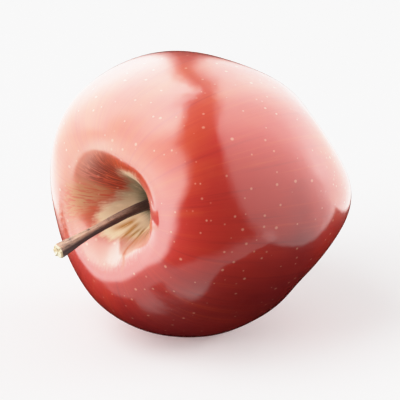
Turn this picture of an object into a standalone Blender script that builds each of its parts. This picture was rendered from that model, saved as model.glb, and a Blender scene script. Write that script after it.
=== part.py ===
"""Apple lying on its side: the fruit, its stem, and the dried calyx at the far end.

Metres, +Z up.  Every piece is shaped in the fruit's own frame, whose +Z is the core line from
the middle of the fruit out through the stem cavity.  An empty then lays that frame down, so
that the fruit rests on its flat spot, with the object's origin under the middle of its box.
"""
import math

import bmesh
import bpy
from mathutils import Matrix, Vector

# Fruit: a full-shouldered upper half and a tapering lower half, measured from the middle
RADIUS = 0.039              # mean radius at the widest
SHOULDER_HEIGHT = 0.0341    # middle to the stem end, before the cavity is sunk
CROWN_HEIGHT = 0.0332       # middle to the calyx end, before the basin is sunk
SHOULDER_FULLNESS = 3.4     # how full the end is: 2 is an ellipse, more is squarer
CROWN_FULLNESS = 1.75
CROWN_TAPER = 0.154         # loss of radius at the calyx end
CAVITY_DEPTH = 0.0196       # bell-shaped hollow that holds the stem
CAVITY_WIDTH = 0.0088
BASIN_DEPTH = 0.0094        # shallow hollow that holds the calyx
BASIN_WIDTH = 0.0100

# Unevenness of the grown fruit, as shares of its radius
RIBS = 5
RIB_TURN = math.radians(-16.5)
CROWN_RIB = 0.034           # ribs stand out towards the calyx end
SHOULDER_RIB = -0.020
CROWN_KNOB = 0.046          # the ribs end in knobs round the basin
RIB_LEAD = 0.91             # how much stronger the ribs are on the leading side
RIB_LEAD_TURN = math.radians(-28.0)
OVALNESS = 0.038
OVAL_TURN = math.radians(6.5)
THREE_SIDEDNESS = 0.059
THREE_SIDED_TURN = math.radians(-5.5)
CORE_BEND = Vector((-0.029, 0.007))
SHOULDER_TILT = Vector((0.059, 0.104))
ROUND_WITHIN = 0.3 * RADIUS  # nearer the core line than this the unevenness fades away
KNOB_WITHIN = 0.5 * RADIUS

# Stem, rooted in a small socket in the cavity's floor
STEM_FOOT_RADIUS = 0.0017
STEM_NECK_RADIUS = 0.0013
STEM_TIP_RADIUS = 0.00185
STEM_RISE = 0.0113          # along the core line before it leans
STEM_REACH = 0.0244         # along its lean
STEM_LEAN = math.radians(25.0)
STEM_HEADING = math.radians(-133.0)
STEM_FLARE = 0.18           # share of the length over which either end thickens
SOCKET_SINK = 0.0005        # socket floor below the lowest point of the cavity

# Calyx: dried sepals standing round the withered stamens
SEPALS = 5
SEPAL_RING_RADIUS = 0.0027
SEPAL_WAIST_RADIUS = 0.0017
SEPAL_TIP_RADIUS = 0.0036
SEPAL_HEIGHT = 0.0048
SEPAL_WIDTH = 0.0026
SEPAL_THICKNESS = 0.0006
TUFT_RADIUS = 0.00085
TUFT_HEIGHT = 0.0046

# How the fruit lies
CORE_HEADING = math.radians(-135.5)
CORE_LIFT = math.radians(9.2)
CORE_SPIN = math.radians(116.0)
FLAT_SPOT_DEPTH = 0.0017

GAP = 0.0003
MERGE = 0.000001
SKIN_TURNS = 60
SKIN_RINGS = 42
RING_CROWDING = 1.25        # above 1 the rings lie closer in the stem cavity
LAST_POLAR = math.radians(178.2)  # last ring of skin, round the calyx pole
FLAT_SPOT_EDGE = math.radians(8.0)
STEM_STEPS = 22
MIN_STEP = 0.01             # short step along a line, to find its direction
SEPAL_STEPS = 9
SEPAL_SIDES = 10


def material(name, colour, roughness):
    """A plain finish with one colour and one roughness."""
    finish = bpy.data.materials.new(name)
    finish.use_nodes = True
    shader = finish.node_tree.nodes["Principled BSDF"]
    shader.inputs["Base Color"].default_value = (*colour, 1.0)
    shader.inputs["Roughness"].default_value = roughness
    shader.inputs["Metallic"].default_value = 0.0
    return finish


def new_object(name, bm, finish):
    """Turn a bmesh into a smooth-shaded object with its faces pointing out."""
    bmesh.ops.remove_doubles(bm, verts=bm.verts, dist=MERGE)
    bmesh.ops.recalc_face_normals(bm, faces=bm.faces)
    mesh = bpy.data.meshes.new(name)
    bm.to_mesh(mesh)
    bm.free()
    mesh.shade_smooth()
    mesh.materials.append(finish)
    piece = bpy.data.objects.new(name, mesh)
    bpy.context.collection.objects.link(piece)
    return piece


def turned_place(polar):
    """Radius and height of the even, turned fruit at an angle from its stem pole.

    The half outline is an oval whose exponent grows from 2 at the waist to each end's
    fullness, so that the two halves join smoothly, less a bell-shaped dip at either pole.
    """
    level = math.cos(polar)
    low = (1.0 - level) / 2
    end_fullness = SHOULDER_FULLNESS if level > 0.0 else CROWN_FULLNESS
    power = 2.0 / (2.0 + (end_fullness - 2.0) * level**2)
    radius = RADIUS * abs(math.sin(polar)) ** power
    reach = SHOULDER_HEIGHT * (1.0 - low) + CROWN_HEIGHT * low
    height = math.copysign(abs(level) ** power * reach, level)
    if level > 0.0:
        height -= CAVITY_DEPTH * math.exp(-((radius / CAVITY_WIDTH) ** 2))
    else:
        height += BASIN_DEPTH * math.exp(-((radius / BASIN_WIDTH) ** 2))
    return radius * (1.0 - CROWN_TAPER * low**3), height


def grown_place(polar, turn):
    """A point of the uneven, ribbed skin at an angle from the stem pole and a turn."""
    radius, height = turned_place(polar)
    low = (1.0 - math.cos(polar)) / 2
    rib = math.cos(RIBS * (turn - RIB_TURN)) * (1.0 + RIB_LEAD * math.cos(turn - RIB_LEAD_TURN))
    swell = (CROWN_RIB * low**2 + SHOULDER_RIB * (1.0 - low)) * rib
    swell += OVALNESS * math.cos(2 * (turn - OVAL_TURN))
    swell += THREE_SIDEDNESS * math.cos(3 * (turn - THREE_SIDED_TURN))
    grown = radius * (1.0 + swell * min(radius / ROUND_WITHIN, 1.0) ** 2)
    flat = Vector((grown * math.cos(turn), grown * math.sin(turn))) + CORE_BEND * height
    height += SHOULDER_TILT.dot(flat) * (1.0 - low)
    height -= CROWN_KNOB * RADIUS * low**4 * rib * min(radius / KNOB_WITHIN, 1.0) ** 2
    return Vector((flat.x, flat.y, height))


CAVITY_FLOOR = grown_place(0.0, 0.0)
BASIN_FLOOR = grown_place(math.pi, 0.0)
SOCKET_RADIUS = STEM_FOOT_RADIUS + GAP


def lying_down():
    """Rotation from the fruit's own frame to the way it lies."""
    heading = Matrix.Rotation(CORE_HEADING, 3, "Z")
    lift = Matrix.Rotation(math.pi / 2 - CORE_LIFT, 3, "Y")
    return heading @ lift @ Matrix.Rotation(CORE_SPIN, 3, "Z")


def ring(place, count):
    """A closed ring of points, one at each equal turn round the core line."""
    return [place(2 * math.pi * step / count) for step in range(count)]


def loft(bm, rings):
    """Join closed rings of points into a tube and close its two ends."""
    loops = []
    for points in rings:
        verts = [bm.verts.new(point) for point in points]
        loops.append([bm.edges.new(pair) for pair in zip(verts, verts[1:] + verts[:1])])
    for near, far in zip(loops, loops[1:]):
        bmesh.ops.bridge_loops(bm, edges=near + far)
    bmesh.ops.contextual_create(bm, geom=loops[0])
    bmesh.ops.contextual_create(bm, geom=loops[-1])


def socket_rings():
    """The stem's socket: a round floor sunk in the cavity, and the edge of its wall."""
    def at_floor(turn):
        arm = Vector((math.cos(turn), math.sin(turn), 0.0)) * SOCKET_RADIUS
        return CAVITY_FLOOR + arm - Vector((0, 0, SOCKET_SINK))
    return [ring(at_floor, SKIN_TURNS)]


def skin_rings():
    """Rings of the skin, crowded towards the cavity, from the socket's edge to the basin."""
    first = math.asin((SOCKET_RADIUS / RADIUS) ** (SHOULDER_FULLNESS / 2))
    rings = []
    for step in range(SKIN_RINGS):
        share = (step / (SKIN_RINGS - 1)) ** RING_CROWDING
        polar = first + (LAST_POLAR - first) * share
        rings.append(ring(lambda turn, polar=polar: grown_place(polar, turn), SKIN_TURNS))
    return rings


def cut_flat_spot(bm):
    """Slice off the lowest skin of the lying fruit and close the cut with one flat face."""
    up = lying_down().transposed() @ Vector((0, 0, 1))
    lowest = min(bm.verts, key=lambda vert: vert.co.dot(up))
    cut = bmesh.ops.bisect_plane(
        bm, geom=bm.verts[:] + bm.edges[:] + bm.faces[:], dist=MERGE,
        plane_co=lowest.co + up * FLAT_SPOT_DEPTH, plane_no=-up, clear_outer=True,
    )
    rim = [item for item in cut["geom_cut"] if isinstance(item, bmesh.types.BMEdge)]
    bmesh.ops.contextual_create(bm, geom=rim)


def make_fruit():
    """The fruit: rings of skin from the socket to the basin, with the flat spot it rests on."""
    bm = bmesh.new()
    loft(bm, socket_rings() + skin_rings())
    cut_flat_spot(bm)
    fruit = new_object("fruit", bm, material("skin", (0.58, 0.06, 0.05), 0.28))
    fruit.data.set_sharp_from_angle(angle=FLAT_SPOT_EDGE)
    return fruit


def stem_place(share):
    """Point of the stem's middle line: up the core line, then over into its lean."""
    foot = CAVITY_FLOOR + Vector((0, 0, GAP - SOCKET_SINK))
    knee = foot + Vector((0, 0, STEM_RISE))
    side = math.sin(STEM_LEAN)
    lean = Vector((side * math.cos(STEM_HEADING), side * math.sin(STEM_HEADING), math.cos(STEM_LEAN)))
    tip = knee + lean * STEM_REACH
    return foot * (1 - share) ** 2 + knee * (2 * share * (1 - share)) + tip * share**2


def stem_radius(share):
    """Thick at the foot, slender along the middle and flared at the broken tip."""
    at_foot = max(0.0, 1.0 - share / STEM_FLARE) ** 2
    at_tip = max(0.0, 1.0 - (1.0 - share) / STEM_FLARE) ** 2
    foot = (STEM_FOOT_RADIUS - STEM_NECK_RADIUS) * at_foot
    return STEM_NECK_RADIUS + foot + (STEM_TIP_RADIUS - STEM_NECK_RADIUS) * at_tip


def make_stem():
    """The stem: a round rod of changing thickness along a curved line, closed at both ends."""
    curve = bpy.data.curves.new("stem", "CURVE")
    curve.dimensions = "3D"
    curve.bevel_depth = STEM_NECK_RADIUS
    curve.bevel_resolution = 4
    curve.use_fill_caps = True
    spline = curve.splines.new("POLY")
    spline.points.add(STEM_STEPS)
    for step, point in enumerate(spline.points):
        share = step / STEM_STEPS
        point.co = (*stem_place(share), 1.0)
        point.radius = stem_radius(share) / STEM_NECK_RADIUS
    spline.use_smooth = True
    curve.materials.append(material("bark", (0.16, 0.09, 0.06), 0.7))
    stem = bpy.data.objects.new("stem", curve)
    bpy.context.collection.objects.link(stem)
    return stem


def sepal_line(share):
    """Distance from the core line and height above the basin's floor along a sepal."""
    waist = 4 * share * (1 - share) * (SEPAL_RING_RADIUS - SEPAL_WAIST_RADIUS)
    radius = SEPAL_RING_RADIUS - waist + (SEPAL_TIP_RADIUS - SEPAL_RING_RADIUS) * share**2
    clearance = basin_rise(SEPAL_RING_RADIUS + SEPAL_THICKNESS) + GAP
    return radius, clearance + SEPAL_HEIGHT * math.sin(share * math.pi / 2)


def basin_rise(radius):
    """How far the basin's skin stands out beyond its floor at a distance from the core."""
    return BASIN_DEPTH * (1.0 - math.exp(-((radius / BASIN_WIDTH) ** 2)))


def sepal_ring(share, turn):
    """One flattened ring of points across a sepal that stands at a turn round the core."""
    radius, height = sepal_line(share)
    ahead_radius, ahead_height = sepal_line(share + MIN_STEP)
    along = Vector((ahead_radius - radius, ahead_height - height)).normalized()
    half_width = 0.5 * SEPAL_WIDTH * math.cos(0.93 * share * math.pi / 2) ** 0.6
    points = []
    for side in range(SEPAL_SIDES):
        angle = 2 * math.pi * side / SEPAL_SIDES
        across = half_width * math.cos(angle)
        out = 0.5 * SEPAL_THICKNESS * math.sin(angle)
        spot = Vector((radius + out * along.y, across, out * along.x - height))
        points.append(BASIN_FLOOR + Matrix.Rotation(turn, 3, "Z") @ spot)
    return points


def make_sepal(number, finish):
    """A dried sepal: a thin tongue that leans in at its waist and curls out at its tip."""
    turn = RIB_TURN + 2 * math.pi * (number - 0.5) / SEPALS
    bm = bmesh.new()
    loft(bm, [sepal_ring(step / SEPAL_STEPS, turn) for step in range(SEPAL_STEPS + 1)])
    return new_object(f"sepal_{number}", bm, finish)


def make_stamen_tuft():
    """The withered stamens: one slender ridged plug between the sepals."""
    bm = bmesh.new()
    bmesh.ops.create_cone(
        bm, cap_ends=True, segments=2 * SEPALS, radius1=TUFT_RADIUS, radius2=TUFT_RADIUS * 0.5,
        depth=TUFT_HEIGHT,
    )
    sides = [edge for edge in bm.edges if abs(edge.verts[0].co.z - edge.verts[1].co.z) > MERGE]
    bmesh.ops.subdivide_edges(bm, edges=sides, cuts=3)
    for vert in bm.verts:
        ridge = 1.0 + 0.18 * math.cos(SEPALS * math.atan2(vert.co.y, vert.co.x))
        vert.co.x *= ridge
        vert.co.y *= ridge
    drop = Vector((0, 0, GAP + TUFT_HEIGHT / 2))
    bmesh.ops.translate(bm, vec=BASIN_FLOOR - drop, verts=bm.verts)
    return new_object("stamen_tuft", bm, material("stamens", (0.10, 0.08, 0.05), 0.9))


def stand_on_origin(pieces):
    """Lay the pieces down under one empty, with their box's foot centred on the origin."""
    turn = lying_down()
    core_line = bpy.data.objects.new("core_line", None)
    bpy.context.collection.objects.link(core_line)
    core_line.rotation_euler = turn.to_euler()
    corners = []
    for piece in pieces:
        piece.parent = core_line
        shape = piece.evaluated_get(bpy.context.evaluated_depsgraph_get()).to_mesh()
        corners += [turn @ vert.co for vert in shape.vertices]
    low = [min(corner[axis] for corner in corners) for axis in range(3)]
    high = [max(corner[axis] for corner in corners) for axis in range(3)]
    core_line.location = (-(low[0] + high[0]) / 2, -(low[1] + high[1]) / 2, -low[2])


def main():
    for item in list(bpy.data.objects):
        bpy.data.objects.remove(item, do_unlink=True)
    dried_leaf = material("dried_leaf", (0.20, 0.17, 0.10), 0.85)
    pieces = [make_fruit(), make_stem(), make_stamen_tuft()]
    pieces += [make_sepal(number, dried_leaf) for number in range(1, SEPALS + 1)]
    bpy.context.view_layer.update()
    stand_on_origin(pieces)


main()
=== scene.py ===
"""Looks for a whole apple that lies on its side: waxed skin, woody stem and dried calyx.

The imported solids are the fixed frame.  Each visible piece is a surface worked out with numpy in
the fruit's own frame, whose +Z is the core line out through the stem cavity, and is then laid
down where the frame's fruit lies.
"""

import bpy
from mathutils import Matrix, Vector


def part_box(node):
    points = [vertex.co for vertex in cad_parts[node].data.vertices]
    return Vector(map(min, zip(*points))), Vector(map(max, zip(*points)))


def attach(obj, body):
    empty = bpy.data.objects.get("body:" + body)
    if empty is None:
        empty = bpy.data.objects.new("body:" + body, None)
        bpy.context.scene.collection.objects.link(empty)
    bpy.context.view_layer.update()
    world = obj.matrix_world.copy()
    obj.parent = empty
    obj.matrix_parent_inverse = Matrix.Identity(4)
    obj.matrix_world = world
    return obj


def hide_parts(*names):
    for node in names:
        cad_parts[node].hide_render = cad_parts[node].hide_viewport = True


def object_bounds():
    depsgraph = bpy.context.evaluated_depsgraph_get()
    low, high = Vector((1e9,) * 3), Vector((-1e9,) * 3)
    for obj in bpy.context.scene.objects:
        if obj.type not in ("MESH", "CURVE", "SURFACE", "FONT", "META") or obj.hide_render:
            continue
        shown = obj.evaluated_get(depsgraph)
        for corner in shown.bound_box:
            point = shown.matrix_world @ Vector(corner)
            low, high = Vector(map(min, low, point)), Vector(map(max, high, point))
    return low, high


bl_info = {
    "name": "Resting Apple",
    "version": (1, 0, 0),
    "blender": (4, 5, 0),
    "location": "3D View > Sidebar > Apple",
    "description": "Skin, stem, calyx and studio for a whole apple lying on its side",
    "category": "Add Mesh",
}

import math

import bpy
import numpy as np
from bpy.props import FloatProperty, FloatVectorProperty, IntProperty, PointerProperty
from mathutils import Matrix, Vector

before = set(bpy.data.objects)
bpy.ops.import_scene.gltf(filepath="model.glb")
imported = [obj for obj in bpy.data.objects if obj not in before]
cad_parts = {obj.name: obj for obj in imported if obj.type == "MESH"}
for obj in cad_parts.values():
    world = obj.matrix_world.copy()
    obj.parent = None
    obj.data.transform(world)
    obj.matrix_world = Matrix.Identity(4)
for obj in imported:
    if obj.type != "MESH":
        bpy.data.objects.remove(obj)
CAD_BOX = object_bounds()
BODY = "root"

# Form of the fruit, in metres from its middle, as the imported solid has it
RADIUS = 0.039
SHOULDER_HEIGHT = 0.0341
CROWN_HEIGHT = 0.0332
SHOULDER_FULLNESS = 3.4
CROWN_FULLNESS = 1.75
CROWN_TAPER = 0.154
CAVITY_DEPTH = 0.0196
CAVITY_WIDTH = 0.0088
BASIN_DEPTH = 0.0094
BASIN_WIDTH = 0.0100
RIBS = 5
RIB_TURN = math.radians(-16.5)
CROWN_RIB = 0.034
SHOULDER_RIB = -0.020
CROWN_KNOB = 0.046
RIB_LEAD = 0.91
RIB_LEAD_TURN = math.radians(-28.0)
OVALNESS = 0.038
OVAL_TURN = math.radians(6.5)
THREE_SIDEDNESS = 0.059
THREE_SIDED_TURN = math.radians(-5.5)
CORE_BEND = (-0.029, 0.007)
SHOULDER_TILT = (0.059, 0.104)
ROUND_WITHIN = 0.3 * RADIUS
KNOB_WITHIN = 0.5 * RADIUS
CORE_HEADING = math.radians(-135.5)
CORE_LIFT = math.radians(9.2)
CORE_SPIN = math.radians(116.0)
FLAT_SPOT_DEPTH = 0.0017

# Stem and calyx, in metres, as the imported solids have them
STEM_NECK_RADIUS = 0.001144
STEM_FOOT_SWELL = 0.0007
STEM_TIP_FLARE = 0.00085
STEM_RISE = 0.0113
STEM_REACH = 0.0244
STEM_LEAN = math.radians(25.0)
STEM_HEADING = math.radians(-133.0)
BARK_ENDS_AT = 0.985
SEPALS = 5
SEPAL_RING_RADIUS = 0.0027
SEPAL_WAIST_RADIUS = 0.0017
SEPAL_TIP_RADIUS = 0.0036
SEPAL_HEIGHT = 0.0048
SEPAL_WIDTH = 0.0026
TUFT_RADIUS = 0.00085
TUFT_HEIGHT = 0.0046

# The stem's broken end, row by row: share of the stem's radius, and rise in millimetres
BROKEN_SHARE = (0.93, 0.90, 0.86, 0.7, 0.5, 0.32, 0.16, 0.06)
BROKEN_RISE = (0.10, 0.45, 0.60, 0.50, 0.35, 0.30, 0.28, 0.26)

# Dried sepals: half the thickness at the foot, the radius of a fine hair, and the first seed
SEPAL_HALF_THICKNESS = 0.00020
DOWN_RADIUS = 0.000022
SEPAL_SEED = 40

# Grid of the skin and how far its rings crowd towards the poles, one millimetre in metres, and
# the golden angle in radians
SKIN_RINGS = 300
SKIN_TURNS = 320
POLE_CROWDING = 0.72
MILLIMETRE = 0.001
GOLDEN_ANGLE = 2.39996

# Skin: patterns per metre, the share of cells with a lenticel, and the wax's refractive index
CLOUD_SCALE = 34.0
DIMPLE_SCALE = 150.0
PEEL_SCALE = 420.0
GRAIN_SCALE = 900.0
LENTICEL_SHARE = 0.75
WAX_IOR = 1.5

# Markings round the stem's foot, in millimetres and in degrees of turn: how far the pale ground
# reaches from the core; bands beyond its edge as (turn, spread, distance, spread); sides of the
# cavity as (turn, spread); russet rays as (turn, start, end, half-width), whose ends fade over
# a share of their length and which waver by some degrees, at radians per millimetre.  Skin away
# from the cavity counts as far from the ground's edge.
PALE_TURNS = (0, 30, 60, 85, 105, 140, 160, 180, 200, 230, 260, 300, 330, 360)
PALE_REACH = (9.5, 13.0, 12.0, 8.4, 6.4, 6.2, 7.2, 9.8, 11.2, 9.2, 7.6, 6.6, 7.0, 9.5)
CAVITY_BANDS = {
    "brown_fringe": (114.0, 54.0, 2.6, 4.0),
    "tan_fringe": (158.0, 24.0, 5.8, 4.6),
    # The upper wall band marks a painted reflection: a pale pinkish veil laid over the skin
    "upper_wall": (112.0, 50.0, 7.2, 2.8),
}
# The lower wall side marks a painted reflection: a pale pinkish veil round the pale ground
CAVITY_SIDES = {"grey_ground": (108.0, 58.0), "lower_wall": (268.0, 66.0)}
RUSSET_RAYS = (
    (214, 5.5, 9.6, 5.0), (231, 5.5, 10.4, 5.5), (246, 6.0, 9.6, 5.0), (262, 6.0, 17.0, 3.6),
    (278, 6.5, 12.0, 3.6), (294, 6.0, 11.5, 4.2), (313, 6.5, 13.0, 3.6), (335, 6.5, 18.0, 3.2),
)
RAY_FADE = 0.45
RAY_WAVER = 2.2
RAY_WAVER_RATE = 1.1
FAR_FROM_EDGE = 60.0
CORE_EDGE = -8.0

# The floor, in metres, and the lamps as (name, place, size, setting that holds the power)
FLOOR_GAP = 0.00002
FLOOR_RADIUS = 7.0
FLOOR_FLAT_RADIUS = 2.2
FLOOR_SWEEP = 0.9
LAMPS = (
    ("key_light", (-0.9, -0.55, 1.4), 1.2, "key_power"),
    ("fill_left", (-1.3, -0.75, 0.45), 0.7, "left_power"),
    ("table_bounce", (-0.45, -0.45, -0.40), 0.5, "bounce_power"),
    ("fill_right", (1.4, 0.35, 0.40), 0.7, "right_power"),
)

# The light tent by degrees over the top (0 in front, 90 overhead, 180 behind): each side's inner
# edge and its softness in degrees sideways, then the brightness at the edge and at its rim; past
# the band of its ends, in degrees sideways, it has one brightness on each side
TENT_DISTANCE = 1.8
TENT_RIM = 88.0
TENT_END_BAND = (76, 89)
TENT_OVER = (-90, -45, -15, 15, 45, 75, 105, 135, 180, 200, 225, 270)
LEFT_PANEL = (
    (57, 50, 36, 19, 11, 16, 12, 0, 1, 3, 52, 57),
    (8, 10, 16, 20, 24, 26, 8, 4, 6, 8, 8, 8),
    (5.0, 7.0, 7.6, 6.8, 4.2, 4.2, 8.3, 6.9, 2.2, 1.8, 4.6, 5.0),
    (5.8, 6.6, 6.6, 5.9, 5.9, 7.0, 7.6, 7.9, 6.6, 5.8, 5.8, 5.8),
)
RIGHT_PANEL = (
    (49, 38, 29, 22, 15, 8, 2, 0, 2, 3, 54, 49),
    (5, 3, 8, 12, 12, 9, 7, 4, 5, 6, 12, 5),
    (1.6, 1.5, 1.6, 2.0, 2.5, 3.4, 4.4, 4.2, 1.8, 1.6, 4.0, 1.6),
    (4.6, 4.0, 4.1, 4.3, 4.8, 5.1, 6.6, 7.6, 6.4, 5.8, 5.3, 4.6),
)
LEFT_END_GLOW = 5.2
RIGHT_END_GLOW = 4.2

# The lit table low in front: its upper and lower edge by degrees sideways, and how far right it
# runs by degrees over
TABLE_UPPER = ((-60, -40, -26, -10, 44), (-66, -58, -46, -37, -33))
TABLE_LOWER = ((-60, -50, -34, -20, 0), (-104, -100, -82, -88, -98))
TABLE_RIGHT = ((-97, -75, -60, -48, -45), (-1, 4, 10, 18, 44))

# Width of the camera's sensor in millimetres, as the focal length takes it
SENSOR_WIDTH = 36.0

# How the picture's brightness rolls off: (brightness in, brightness out) up to the brightest
BRIGHTEST = 3.0
HIGHLIGHT_CURVE = (
    (0.30, 0.30), (0.60, 0.60), (0.80, 0.765), (1.00, 0.87), (1.30, 0.945), (1.80, 0.985),
)


# ---------------------------------------------------------------------------------------------
# Form of the fruit
# ---------------------------------------------------------------------------------------------

def core_rotation():
    """3x3 rotation from the fruit's own frame to the way it lies: spin, then lift, then heading."""
    heading = Matrix.Rotation(CORE_HEADING, 3, "Z")
    lift = Matrix.Rotation(math.pi / 2 - CORE_LIFT, 3, "Y")
    return np.array(heading @ lift @ Matrix.Rotation(CORE_SPIN, 3, "Z"))


def turned_outline(polar):
    """Radius and height of the even fruit at an angle from its stem pole.

    radius = R |sin|^p and height = +-reach |cos|^p, with p = 2 / (2 + (fullness - 2) cos^2), less
    a bell-shaped dip, depth exp(-(radius / width)^2), at either pole.  Towards the calyx the
    radius narrows by the crown taper times low^3, where low goes from 0 at the stem to 1.
    """
    level = np.cos(polar)
    low = (1.0 - level) / 2
    fullness = np.where(level > 0.0, SHOULDER_FULLNESS, CROWN_FULLNESS)
    power = 2.0 / (2.0 + (fullness - 2.0) * level**2)
    radius = RADIUS * np.abs(np.sin(polar)) ** power
    reach = SHOULDER_HEIGHT * (1.0 - low) + CROWN_HEIGHT * low
    height = np.sign(level) * np.abs(level) ** power * reach
    cavity = CAVITY_DEPTH * np.exp(-((radius / CAVITY_WIDTH) ** 2))
    basin = BASIN_DEPTH * np.exp(-((radius / BASIN_WIDTH) ** 2))
    height = height + np.where(level > 0.0, -cavity, basin)
    return radius * (1.0 - CROWN_TAPER * low**3), height


def skin_surface(polar, turn):
    """Points of the uneven skin for arrays of polar angle and turn, in the fruit's own frame.

    The turned outline swells by (crown rib low^2 + shoulder rib (1 - low)) cos 5t, stronger on
    one side by (1 + lead cos t), by an oval term cos 2t and by a three-sided term cos 3t; then
    the core bends, the shoulder tilts and the ribs end in knobs of low^4.  The swell and the
    knobs fade to nothing at the core line.
    """
    radius, height = turned_outline(polar)
    low = (1.0 - np.cos(polar)) / 2
    rib = np.cos(RIBS * (turn - RIB_TURN)) * (1.0 + RIB_LEAD * np.cos(turn - RIB_LEAD_TURN))
    swell = (CROWN_RIB * low**2 + SHOULDER_RIB * (1.0 - low)) * rib
    swell = swell + OVALNESS * np.cos(2 * (turn - OVAL_TURN))
    swell = swell + THREE_SIDEDNESS * np.cos(3 * (turn - THREE_SIDED_TURN))
    grown = radius * (1.0 + swell * np.minimum(radius / ROUND_WITHIN, 1.0) ** 2)
    east = grown * np.cos(turn) + CORE_BEND[0] * height
    north = grown * np.sin(turn) + CORE_BEND[1] * height
    tilt = (SHOULDER_TILT[0] * east + SHOULDER_TILT[1] * north) * (1.0 - low)
    knob = CROWN_KNOB * RADIUS * low**4 * rib * np.minimum(radius / KNOB_WITHIN, 1.0) ** 2
    return np.stack([east, north, height + tilt - knob], axis=-1)


def skin_relief(polar, turn):
    """Small height of the real skin above the smooth form, in metres.

    Sums of slow waves over the cheeks, radial creases that grow towards the stem's foot as
    exp(-(r / 8 mm)^2), and deeper folds gathered round the calyx as exp(-(r / 9 mm)^2).
    """
    radius, _ = turned_outline(polar)
    stem_end = np.cos(polar) > 0.0
    waves = (
        0.10 * np.sin(3 * turn + 4.1 * polar + 0.7)
        + 0.08 * np.sin(7 * turn - 2.3 * polar + 2.1) * np.sin(polar)
        + 0.05 * np.sin(11 * turn + 6.7 * polar + 4.0) * np.sin(polar)
    )
    near_stem = np.exp(-((radius / 0.008) ** 2)) * np.where(stem_end, 1.0, 0.0)
    creases = (
        0.16 * np.sin(9 * turn + 0.4) + 0.10 * np.sin(14 * turn + 1.9) + 0.05 * np.sin(23 * turn)
    )
    near_calyx = np.exp(-((radius / 0.009) ** 2)) * np.where(stem_end, 0.0, 1.0)
    folds = (
        0.34 * np.abs(np.sin(5 * (turn - RIB_TURN) / 2 + 0.2))
        + 0.22 * np.sin(11 * turn + 0.8) + 0.12 * np.sin(17 * turn + 2.6)
    )
    from_pole = np.clip(radius / 0.004, 0.0, 1.0) ** 2
    relief = waves * np.clip(radius / ROUND_WITHIN, 0.0, 1.0) ** 2
    return MILLIMETRE * (relief + (near_stem * creases + near_calyx * folds) * from_pole)


def grown_points(polar, turn):
    """The smooth form moved along its own normal by the relief, as an array of points.

    The normal is the cross product of the surface's two partial differences.
    """
    step = 1e-4
    along = skin_surface(polar + step, turn) - skin_surface(polar - step, turn)
    across = skin_surface(polar, turn + step) - skin_surface(polar, turn - step)
    normal = np.cross(along, across)
    normal /= np.maximum(np.linalg.norm(normal, axis=-1, keepdims=True), 1e-15)
    return skin_surface(polar, turn) + normal * skin_relief(polar, turn)[..., None]


def core_origin():
    """Where the fruit's middle lies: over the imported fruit's, and sunk by the flat spot's depth."""
    low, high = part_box("fruit")
    polar, turn = skin_grid(120, 180)
    points = skin_surface(polar, turn) @ core_rotation().T
    least = points.min(axis=(0, 1))
    most = points.max(axis=(0, 1))
    return np.array([
        (low.x + high.x - least[0] - most[0]) / 2,
        (low.y + high.y - least[1] - most[1]) / 2,
        low.z - least[2] - FLAT_SPOT_DEPTH,
    ])


def skin_grid(rings, turns):
    """Polar angles and equal turns, as two matching grids.

    A ring at a share s of the way lies at pi (s - crowding sin(2 pi s) / (2 pi)).
    """
    share = (np.arange(rings) + 0.5) / rings
    eased = share - POLE_CROWDING * np.sin(2 * np.pi * share) / (2 * np.pi)
    turn = 2 * np.pi * np.arange(turns) / turns
    return np.meshgrid(np.pi * eased, turn, indexing="ij")


def lay_down(points):
    """Carry points from the fruit's own frame to where the fruit lies."""
    return points @ core_rotation().T + core_origin()


def press_on_floor(points):
    """Ease points that would sink below the flat spot up onto it: floor + k log(1 + e^(z / k))."""
    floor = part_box("fruit")[0].z
    softness = 0.00008
    depth = (points[..., 2] - floor) / softness
    eased = floor + softness * np.logaddexp(0.0, depth)
    points[..., 2] = np.where(depth < 12.0, eased, points[..., 2])
    return points


CAVITY_FLOOR = skin_surface(np.array(0.0), np.array(0.0))
BASIN_FLOOR = skin_surface(np.array(math.pi), np.array(0.0))


# ---------------------------------------------------------------------------------------------
# Mesh making
# ---------------------------------------------------------------------------------------------

def closed_tube_faces(rows, columns, first=0):
    """Quads of a grid that closes on itself across its columns, and the fans to its two ends.

    Vertex order: rows x columns of grid points, then the start pole, then the end pole.
    """
    row, column = np.meshgrid(np.arange(rows - 1), np.arange(columns), indexing="ij")
    ahead = (column + 1) % columns
    quads = np.stack([
        row * columns + column, (row + 1) * columns + column,
        (row + 1) * columns + ahead, row * columns + ahead,
    ], axis=-1).reshape(-1, 4) + first
    column = np.arange(columns)
    ahead = (column + 1) % columns
    start = first + rows * columns
    last_row = first + (rows - 1) * columns
    start_fan = np.stack([np.full(columns, start), first + column, first + ahead], axis=-1)
    end_fan = np.stack([np.full(columns, start + 1), last_row + ahead, last_row + column], axis=-1)
    return quads.tolist() + start_fan.tolist() + end_fan.tolist()


def tube_vertices(points, start, end):
    """Grid points in row order, followed by the two poles."""
    return np.concatenate([points.reshape(-1, 3), [start], [end]])


def mesh_piece(name, vertices, faces, material):
    """Make a smooth mesh object at the origin; its faces are given pointing outwards."""
    mesh = bpy.data.meshes.new(name)
    mesh.from_pydata(vertices.tolist(), [], faces)
    mesh.validate()
    mesh.shade_smooth()
    mesh.materials.append(material)
    piece = bpy.data.objects.new(name, mesh)
    bpy.context.scene.collection.objects.link(piece)
    return piece


def store_values(mesh, name, kind, values):
    """Keep one value or vector for each vertex as a named attribute."""
    layer = mesh.attributes.new(name, kind, "POINT")
    field = "vector" if kind == "FLOAT_VECTOR" else "value"
    layer.data.foreach_set(field, np.ascontiguousarray(values, dtype=np.float32).ravel())


def finish_piece(piece, slot, *nodes):
    """Let the piece ride on the apple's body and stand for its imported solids."""
    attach(piece, BODY)
    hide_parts(*nodes)


# ---------------------------------------------------------------------------------------------
# Material making
# ---------------------------------------------------------------------------------------------

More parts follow.
